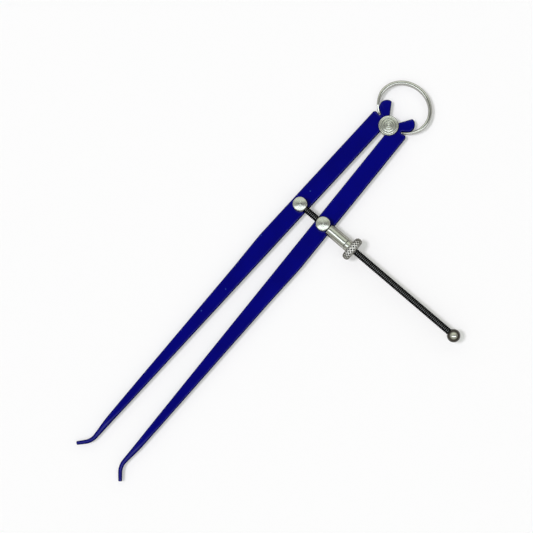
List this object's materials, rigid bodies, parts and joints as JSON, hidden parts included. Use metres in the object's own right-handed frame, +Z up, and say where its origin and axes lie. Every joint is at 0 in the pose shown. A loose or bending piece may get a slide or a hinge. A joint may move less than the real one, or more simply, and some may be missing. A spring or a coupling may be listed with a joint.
{
  "type": "spring inside caliper",
  "caption": "Spring inside caliper: two blue legs with toes turned out, ring spring over a fulcrum stud, and a threaded screw with sleeve, knurled nut and ball end.",
  "frame": {"origin": "on the fulcrum axis, at the back face of the fulcrum", "axes": "+X across the legs towards the screw's ball end, +Y from the toes towards the ring spring, +Z up out of the front face"},
  "size_m": [0.1271, 0.2835, 0.0169],
  "materials": {
    "leg_paint": "glossy deep blue paint",
    "turned_steel": "turned and nickel plated, bright",
    "spring_steel": "polished spring strip",
    "black_steel": "black oxide, oiled",
    "knurled_steel": "nickel plated, diamond knurl on the rim"
  },
  "bodies": {
    "fulcrum": {"fulcrum_stud": "turned_steel", "fulcrum_washer": "turned_steel"},
    "spring": {"bow_spring": "spring_steel"},
    "right_leg": {"right_leg": "leg_paint"},
    "left_leg": {"left_leg": "leg_paint"},
    "left_swivel": {"left_post": "turned_steel", "left_post_washer": "turned_steel", "screw_lock_pin": "black_steel", "adjusting_screw": "black_steel", "end_ball": "turned_steel"},
    "right_swivel": {"right_post": "turned_steel", "right_post_washer": "turned_steel"},
    "sleeve": {"thrust_sleeve": "turned_steel"},
    "nut": {"adjusting_nut": "knurled_steel"}
  },
  "joints": [
    {"name": "leg_opening", "type": "hinge", "parent": "fulcrum", "child": "right_leg", "pos_m": [0, 0, 0], "axis": [0, 0, 1], "range_deg": [-2.1, 30]},
    {"name": "left_leg_opening", "type": "hinge", "parent": "fulcrum", "child": "left_leg", "pos_m": [0, 0, 0], "axis": [0, 0, -1], "range_deg": [-2.1, 30]},
    {"name": "left_post_swivel", "type": "hinge", "parent": "left_leg", "child": "left_swivel", "pos_m": [-0.00864, -0.0676, 0.0097], "axis": [0, 0, 1], "range_deg": [-2.1, 30]},
    {"name": "right_post_swivel", "type": "hinge", "parent": "right_leg", "child": "right_swivel", "pos_m": [0.00864, -0.0676, 0.0097], "axis": [0, 0, -1], "range_deg": [-2.1, 30]},
    {"name": "spring_rise", "type": "slide", "parent": "fulcrum", "child": "spring", "axis": [0, 1, 0], "range_m": [-0.0004, 0.0042], "deforming": ["bow_spring"]},
    {"name": "sleeve_spin", "type": "hinge", "parent": "right_swivel", "child": "sleeve", "pos_m": [0.0194, -0.0676, 0.0097], "axis": [1, 0, 0], "continuous": true},
    {"name": "nut_spin", "type": "hinge", "parent": "right_swivel", "child": "nut", "pos_m": [0.0295, -0.0676, 0.0097], "axis": [1, 0, 0], "continuous": true}
  ],
  "couplings": [
    {"joint": "left_leg_opening", "follows": "leg_opening", "ratio": 1},
    {"joint": "left_post_swivel", "follows": "leg_opening", "ratio": 1},
    {"joint": "right_post_swivel", "follows": "leg_opening", "ratio": 1},
    {"joint": "spring_rise", "follows": "leg_opening", "m_per_rad": 0.0077}
  ]
}
